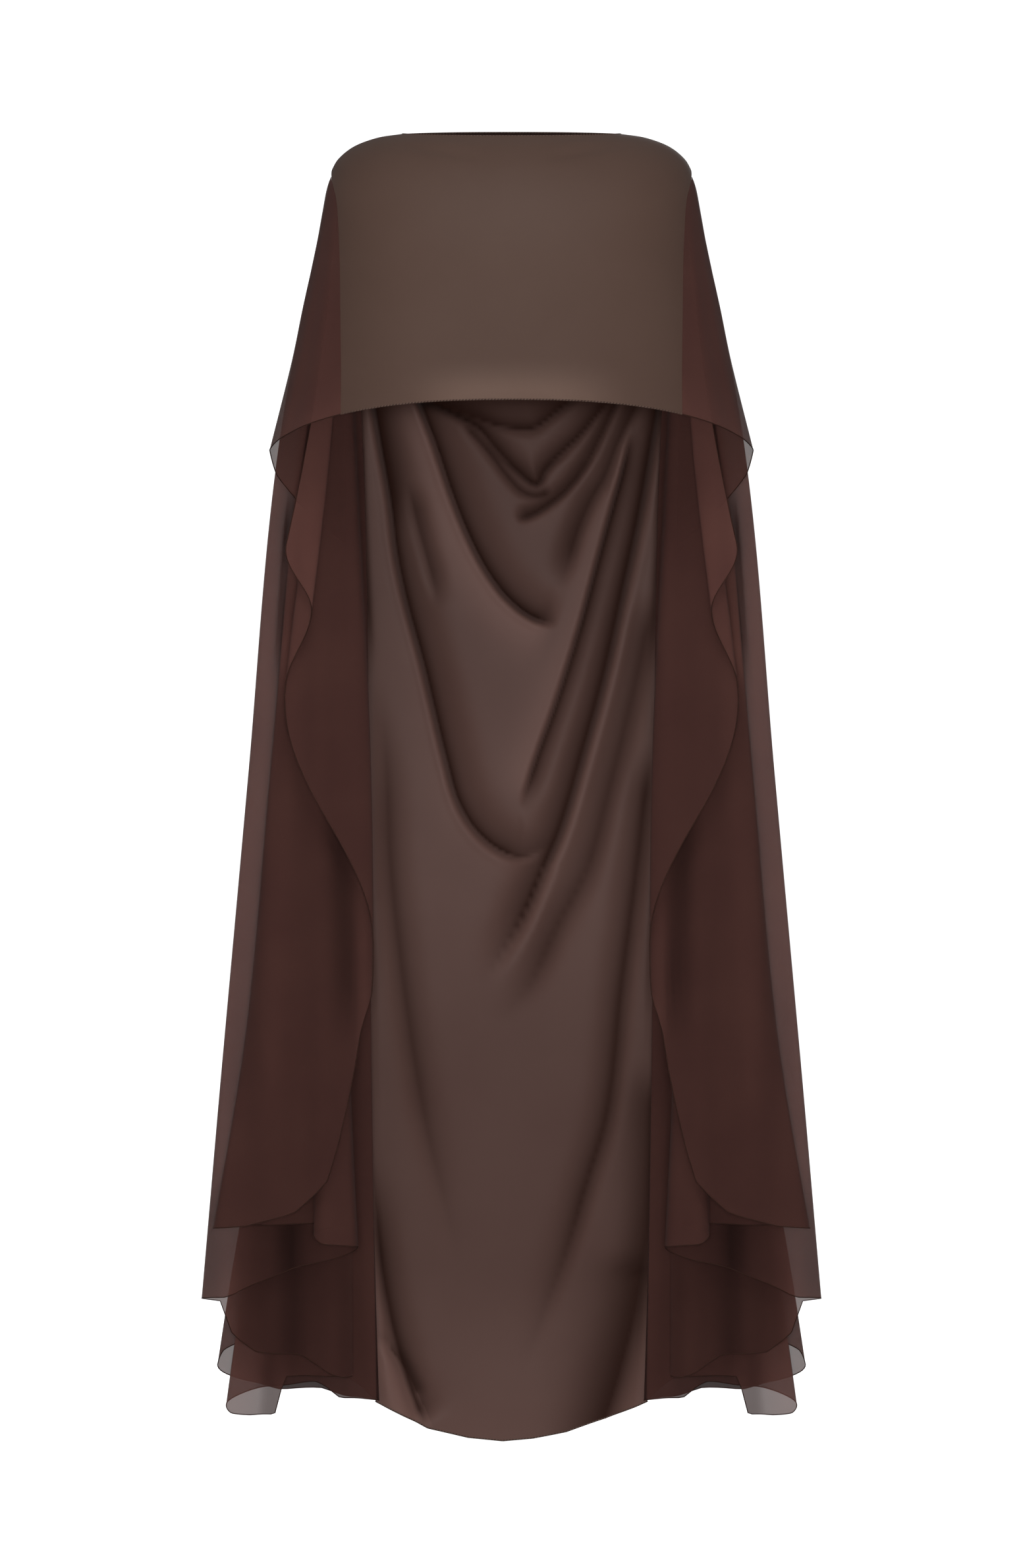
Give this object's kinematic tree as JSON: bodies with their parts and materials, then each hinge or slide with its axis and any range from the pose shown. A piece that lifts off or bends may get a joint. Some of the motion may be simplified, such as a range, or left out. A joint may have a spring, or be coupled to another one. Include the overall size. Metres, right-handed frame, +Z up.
{
  "type": "long cape",
  "caption": "Long hollow cape as worn: a short straight front, chiffon wings over the arms, side cascades and a draped back panel falling to the floor.",
  "frame": {"origin": "where the wearer's shoulders and neck hold the cape up: in the middle of the neck opening, at the height of the shoulder line beside the neck", "axes": "+Z up, the front faces -Y, +X is the wearer's left"},
  "size_m": [0.6858, 0.3075, 1.4579],
  "materials": {
    "satin": "dark brown matt satin with a soft sheen",
    "chiffon": "dark brown sheer chiffon, dull, with narrow rolled hems"
  },
  "bodies": {
    "root": {"front_panel": "satin", "back_panel": "satin", "wing_left": "chiffon", "wing_right": "chiffon", "cascade_left": "chiffon", "cascade_right": "chiffon"}
  },
  "joints": []
}
